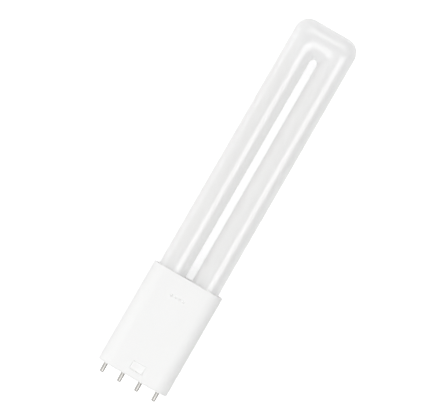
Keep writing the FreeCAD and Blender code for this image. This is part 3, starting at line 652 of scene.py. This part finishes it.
@dataclass
class Housing(SubAssembly):
    """The two white half shells, with the clip recess, the dimples and the pin holes."""

    long: float = 62.6 * MM
    half_wide: float = 21.65 * MM
    deep: float = 12.0 * MM
    corner: float = 8.0 * MM
    corner_steps: int = 20
    end_round: float = 1.0 * MM
    end_steps: int = 6
    rim_bevel: float = 0.4 * MM
    rim_steps: int = 3
    seam_bevel: float = 0.22 * MM
    seam_steps: int = 2
    wall: float = 1.6 * MM
    crease: float = 32.0
    hole: float = 1.5 * MM
    hole_sides: int = 40
    drill_long: float = 8.0 * MM
    recess: tuple[float, float] = (3.8 * MM, 9.5 * MM)
    recess_half: float = 4.1 * MM
    recess_deep: float = 1.25 * MM
    recess_rise: float = 0.5 * MM
    recess_draft: tuple[float, float] = (0.6 * MM, 0.25 * MM)
    recess_spare: float = 0.2 * MM
    dimples: tuple[float, ...] = (-3.9 * MM, -1.3 * MM, 1.3 * MM, 3.9 * MM)
    dimple_radius: float = 0.8 * MM
    dimple_sides: int = 20
    dimple_rings: int = 12
    dimple_sunk: float = 0.25 * MM
    dimple_back: float = 12.0 * MM

    def build(self) -> None:
        """Makes the front shell with its marks, and the plainer back shell."""
        front = self.shell("front_cover", 1.0)
        for across in self.dimples:
            cutter = Modeller.begin(
                "dimple", bpy.ops.mesh.primitive_uv_sphere_add, segments=self.dimple_sides,
                ring_count=self.dimple_rings, radius=self.dimple_radius,
                location=(self.long - self.dimple_back, across, self.deep - self.dimple_sunk))
            Modeller.carve(front, cutter)
        back = self.shell("back_cover", -1.0)
        for piece, node in ((front, "front_shell"), (back, "back_shell")):
            Modeller.smooth(piece, self.crease)
            self.dress(piece, "housing_plastic", node)

    def shell(self, name: str, side: float) -> bpy.types.Object:
        """Models one half shell.

        Args:
            name: the piece's name.
            side: 1 for the half above the seam, -1 for the half below it.

        Returns:
            The shell.
        """
        middle = (self.long / 2, 0.0, side * self.deep / 2)
        piece = Modeller.begin(
            name, bpy.ops.mesh.primitive_cube_add, size=1.0, location=middle,
            scale=(self.long, self.half_wide * 2, self.deep))
        bpy.ops.object.mode_set(mode="EDIT")
        self.round_block(piece)
        self.open_block(piece)
        bpy.ops.object.mode_set(mode="OBJECT")
        Modeller.modify(piece, "SOLIDIFY", thickness=self.wall, offset=-1.0, use_even_offset=True,
                        use_rim=True)
        bpy.ops.object.mode_set(mode="EDIT")
        self.break_edges(piece)
        bpy.ops.object.mode_set(mode="OBJECT")
        self.drill(piece)
        self.sink_recess(piece, side)
        return piece

    def round_block(self, piece: bpy.types.Object) -> None:
        """Rounds the two long corners of half the block, then its end at the pins."""
        Modeller.select(piece, "EDGE", lambda edge: self.runs_along(edge) and all(
            abs(v.co.z) > NEAR for v in edge.verts))
        Modeller.bevel(self.corner, self.corner_steps)
        Modeller.select(piece, "EDGE", lambda edge: all(
            v.co.x < NEAR for v in edge.verts) and any(abs(v.co.z) > NEAR for v in edge.verts))
        Modeller.bevel(self.end_round, self.end_steps)

    def open_block(self, piece: bpy.types.Object) -> None:
        """Takes away the block's faces at the rim and at the seam."""
        Modeller.select(piece, "FACE", lambda face: face.calc_center_median().x > self.long - NEAR
                        or abs(face.calc_center_median().z) < NEAR)
        bpy.ops.mesh.delete(type="FACE")
        bpy.ops.mesh.select_all(action="SELECT")
        bpy.ops.mesh.normals_make_consistent(inside=False)

    @staticmethod
    def runs_along(edge: bmesh.types.BMEdge) -> bool:
        """Whether an edge runs along the lamp."""
        start, end = (vertex.co for vertex in edge.verts)
        return abs(end.x - start.x) > 1.0 * MM

    def break_edges(self, piece: bpy.types.Object) -> None:
        """Bevels the outer edge of the rim, then the outer edges along the seam."""
        Modeller.select(piece, "EDGE", lambda edge: all(
            v.co.x > self.long - NEAR and self.outside(v.co) for v in edge.verts))
        Modeller.bevel(self.rim_bevel, self.rim_steps)
        Modeller.select(piece, "EDGE", lambda edge: all(
            abs(v.co.z) < NEAR and (abs(v.co.y) > self.half_wide - NEAR
                                    or v.co.x < self.end_round + NEAR) for v in edge.verts))
        Modeller.bevel(self.seam_bevel, self.seam_steps)

    def outside(self, place: Vector) -> bool:
        """Whether a point of the rim is on the housing's outer skin."""
        flat_wide, flat_deep = self.half_wide - self.corner, self.deep - self.corner
        over_wide = max(abs(place.y) - flat_wide, 0.0)
        over_deep = max(abs(place.z) - flat_deep, 0.0)
        return math.hypot(over_wide, over_deep) > self.corner - 0.1 * MM

    def drill(self, piece: bpy.types.Object) -> None:
        """Cuts the four pin holes."""
        for across in PIN_ROWS:
            cutter = Modeller.begin(
                "pin_hole", bpy.ops.mesh.primitive_cylinder_add, vertices=self.hole_sides,
                radius=self.hole, depth=self.drill_long, location=(0.0, across, 0.0),
                rotation=(0.0, math.pi / 2, 0.0))
            Modeller.carve(piece, cutter)

    def sink_recess(self, piece: bpy.types.Object, side: float) -> None:
        """Cuts the clip recess: drafted walls and a floor that rises towards the rim.

        Args:
            piece: the shell.
            side: 1 for the front shell, -1 for the back shell.
        """
        start, end = self.recess
        middle, reach = (start + end) / 2, end - start
        ends, flanks = self.recess_draft
        tall = self.recess_deep + self.recess_spare
        cutter = Modeller.begin(
            "clip_recess", bpy.ops.mesh.primitive_cube_add, size=1.0,
            location=(middle, 0.0, side * (self.deep + self.recess_spare - tall / 2)),
            scale=(reach, self.recess_half * 2, tall))
        bpy.ops.object.mode_set(mode="EDIT")
        Modeller.select(cutter, "VERT", lambda v: abs(v.co.z) < self.deep)
        bpy.ops.transform.resize(
            value=(1.0 - 2 * ends / reach, 1.0 - flanks / self.recess_half, 1.0),
            center_override=(middle, 0.0, 0.0))
        Modeller.select(cutter, "VERT", lambda v: abs(v.co.z) < self.deep and v.co.x > middle)
        bpy.ops.transform.translate(value=(0.0, 0.0, side * self.recess_rise))
        bpy.ops.object.mode_set(mode="OBJECT")
        Modeller.carve(piece, cutter)


@dataclass
class ContactPins(SubAssembly):
    """The four turned pins, with rounded tips and the collars that hold them."""

    radius: float = 1.175 * MM
    reach: float = 6.1 * MM
    sides: int = 48
    tip: float = 0.8 * MM
    tip_steps: int = 8
    shank: float = 1.45 * MM
    collar: float = 2.0 * MM
    stations: tuple[float, ...] = (1.2 * MM, 2.0 * MM, 5.4 * MM)
    edge_break: float = 0.06 * MM
    break_steps: int = 2
    break_above: float = 50.0
    crease: float = 35.0

    def build(self) -> None:
        """Turns one pin and sets a copy of it in each row."""
        first = self.turn()
        for count, across in enumerate(PIN_ROWS, start=1):
            piece = first.copy()
            piece.data = first.data.copy()
            piece.name = piece.data.name = f"turned_pin_{count}"
            bpy.context.scene.collection.objects.link(piece)
            piece.data.transform(Matrix.Translation((0.0, across, 0.0)))
            self.dress(piece, "nickel_plate", f"contact_pin_{count}")
        bpy.data.objects.remove(first)

    def turn(self) -> bpy.types.Object:
        """Turns a pin on the middle line.

        Returns:
            The pin.
        """
        piece = Modeller.begin(
            "pin", bpy.ops.mesh.primitive_cylinder_add, vertices=self.sides,
            radius=self.radius, depth=self.reach, location=(-self.reach / 2, 0.0, 0.0),
            rotation=(0.0, math.pi / 2, 0.0))
        bpy.ops.object.mode_set(mode="EDIT")
        Modeller.select(piece, "EDGE", lambda edge: all(
            v.co.x < NEAR - self.reach for v in edge.verts))
        Modeller.bevel(self.tip, self.tip_steps)
        Modeller.select(piece, "FACE", lambda face: face.calc_center_median().x > -NEAR)
        radius, place = self.radius, 0.0
        sections = ((self.shank, 0.0), (self.shank, self.stations[0]), (self.collar, 0.0),
                    (self.collar, self.stations[1] - self.stations[0]), (self.shank, 0.0),
                    (self.shank, self.stations[2] - self.stations[1]))
        for wanted, step in sections:
            bpy.ops.mesh.extrude_region_move(TRANSFORM_OT_translate={"value": (step, 0.0, 0.0)})
            place += step
            grow = wanted / radius
            if grow != 1.0:
                bpy.ops.transform.resize(value=(1.0, grow, grow), center_override=(place, 0.0, 0.0))
            radius = wanted
        bpy.ops.mesh.select_all(action="SELECT")
        bpy.ops.mesh.normals_make_consistent(inside=False)
        bpy.ops.object.mode_set(mode="OBJECT")
        Modeller.modify(piece, "BEVEL", width=self.edge_break, segments=self.break_steps,
                        limit_method="ANGLE", angle_limit=math.radians(self.break_above))
        Modeller.smooth(piece, self.crease)
        return piece


@dataclass(frozen=True)
class Softbox:
    """A soft lamp: where it hangs, seen from the object, its size and its brightness.

    The two angles are in degrees.
    """

    name: str
    sideways: float
    endways: float
    distance: float
    wide: float
    long: float
    radiance: float

    def direction(self) -> Vector:
        """The way from the object to the lamp: tilted sideways, then towards the bend."""
        tilt, lean = math.radians(self.sideways), math.radians(self.endways)
        return Vector((math.sin(lean), -math.sin(tilt) * math.cos(lean),
                       math.cos(tilt) * math.cos(lean)))

    def hang(self, middle: Vector) -> None:
        """Hangs the lamp so that it faces the object."""
        data = bpy.data.lights.new(self.name, "AREA")
        data.shape = "RECTANGLE"
        data.size, data.size_y = self.wide, self.long
        data.energy = self.radiance * math.pi * self.wide * self.long
        back = self.direction()
        side = Vector((1.0, 0.0, 0.0)).cross(back).normalized()
        lamp = bpy.data.objects.new(self.name, data)
        turn = Matrix((side, back.cross(side), back)).transposed().to_4x4()
        lamp.matrix_world = Matrix.Translation(middle + back * self.distance) @ turn
        bpy.context.scene.collection.objects.link(lamp)


@dataclass
class Studio:
    """The floor, the lamps, the world and the camera.

    Angles are in degrees; mirrored is how white gloss and glass see the surroundings.
    """

    floor_level: float
    floor_wide: float = 6.0
    above: float = 1.5
    aim: tuple[float, float] = (102.7 * MM, 7.8 * MM)
    view_wide: float = 236.5 * MM
    turned: float = -60.0
    sensor: float = 36.0
    paper: float = 0.90
    paper_grain: float = 2 * MM
    paper_drift: float = 0.01
    lift: float = 0.48
    sky: float = 0.66
    sides: float = 0.26
    slope: float = 0.38
    mirrored: float = 0.75
    lamps: tuple[Softbox, ...] = (
        Softbox("strip", sideways=33.0, endways=0.0, distance=1.55,
                wide=1.1, long=1.0, radiance=1.77),
        Softbox("window", sideways=-84.0, endways=0.0, distance=2.2,
                wide=0.3, long=1.8, radiance=2.4),
        Softbox("bar_low", sideways=0.0, endways=-23.0, distance=1.6,
                wide=1.5, long=1.0, radiance=1.2),
        Softbox("bar_high", sideways=0.0, endways=45.0, distance=1.6,
                wide=1.2, long=0.7, radiance=0.9),
    )

    def build(self) -> None:
        """Sets up everything round the lamp."""
        self.lay_floor()
        for lamp in self.lamps:
            lamp.hang(Vector((*self.aim, 0.0)))
        self.fill()
        self.stand_camera()

    def lay_floor(self) -> None:
        """Lays a wide pale floor that keeps the lamp's shadow."""
        floor = Modeller.begin(
            "floor", bpy.ops.mesh.primitive_plane_add, size=self.floor_wide,
            location=(*self.aim, self.floor_level))
        made = bpy.data.materials.new("floor")
        made.use_nodes = True
        graph = Graph(made.node_tree)
        grey = (self.paper,) * 3
        paper = graph.blend(graph.noise(self.paper_grain), tinted(grey, 1 - self.paper_drift),
                            tinted(grey, 1 + self.paper_drift))
        lit = graph.add("ShaderNodeBsdfDiffuse", {}, {"Color": paper})
        glow = graph.add("ShaderNodeEmission", {}, {"Strength": self.lift})
        white = graph.add("ShaderNodeEmission", {}, {"Strength": 1.0})
        camera, gloss, glass = self.looks(graph)
        seen = graph.add("ShaderNodeAddShader", {}, {0: lit, 1: glow})
        other = graph.add("ShaderNodeMixShader", {},
                          {0: (gloss + glass) * self.mirrored, 1: lit, 2: white})
        graph.surface(graph.add("ShaderNodeMixShader", {}, {0: camera, 1: other, 2: seen}))
        floor.data.materials.append(made)
        floor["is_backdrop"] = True

    @staticmethod
    def looks(graph: Graph) -> tuple[Signal, ...]:
        """Three signals: seen by the camera, mirrored in gloss, seen through glass."""
        path = graph.node("ShaderNodeLightPath", {}, {})
        return tuple(Signal(graph, path.outputs[name]) for name in (
            "Is Camera Ray", "Is Glossy Ray", "Is Transmission Ray"))

    def fill(self) -> None:
        """Fills the shadows from a pale world that looks white.

        It is brighter on the photograph's left and dimmer towards both sides of the horizon.
        """
        world = bpy.data.worlds.new("studio")
        world.use_nodes = True
        bpy.context.scene.world = world
        graph = Graph(world.node_tree)
        way = graph.add("ShaderNodeTexCoord", {}, {}, "Generated")
        across = graph.add("ShaderNodeSeparateXYZ", {}, {"Vector": way}, Axis.Y.value)
        soft = graph.add("ShaderNodeBackground", {}, {
            "Color": WHITE,
            "Strength": across * self.slope - across.absolute() * self.sides + self.sky})
        white = graph.add("ShaderNodeBackground", {}, {"Color": WHITE, "Strength": 1.0})
        camera, gloss, glass = self.looks(graph)
        shown = (gloss + glass) * self.mirrored + camera
        mixed = graph.add("ShaderNodeMixShader", {}, {0: shown, 1: soft, 2: white})
        graph.surface(mixed, "ShaderNodeOutputWorld")

    def stand_camera(self) -> None:
        """Stands the camera straight over the broad face, turned as in the photograph."""
        data = bpy.data.cameras.new("camera")
        data.sensor_width = self.sensor
        data.lens = data.sensor_width * self.above / self.view_wide
        data.dof.use_dof = False
        camera = bpy.data.objects.new("camera", data)
        turn = Matrix.Rotation(math.radians(self.turned), 4, "Z")
        camera.matrix_world = Matrix.Translation((*self.aim, self.above)) @ turn
        bpy.context.scene.collection.objects.link(camera)
        bpy.context.scene.camera = camera


def dress_frame(frame: dict[str, Any], materials: dict[str, bpy.types.Material]) -> None:
    """Gives every CAD node the finish of its slot.

    Args:
        frame: the loaded frame.
        materials: the materials by slot.
    """
    for part in frame["record"]["subparts"]:
        node = frame["nodes"][part["node"]]
        if not node.material_slots:
            node.data.materials.append(None)
        for slot in node.material_slots:
            slot.material = materials[part["material_slot"]]


def main() -> None:
    """Builds and dresses the lamp, then the studio."""
    logging.basicConfig(level=logging.INFO, format="%(name)s: %(message)s")
    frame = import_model()
    packed = [list(corner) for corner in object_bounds()]
    materials = {name: finish.material(name) for name, finish in FINISHES.items()}
    dress_frame(frame, materials)
    TwinTube(materials).build()
    Housing(materials).build()
    ContactPins(materials).build()
    Studio(floor_level=packed[0][2]).build()
    bpy.context.scene.view_settings.view_transform = "Standard"


if __name__ == "__main__":
    main()
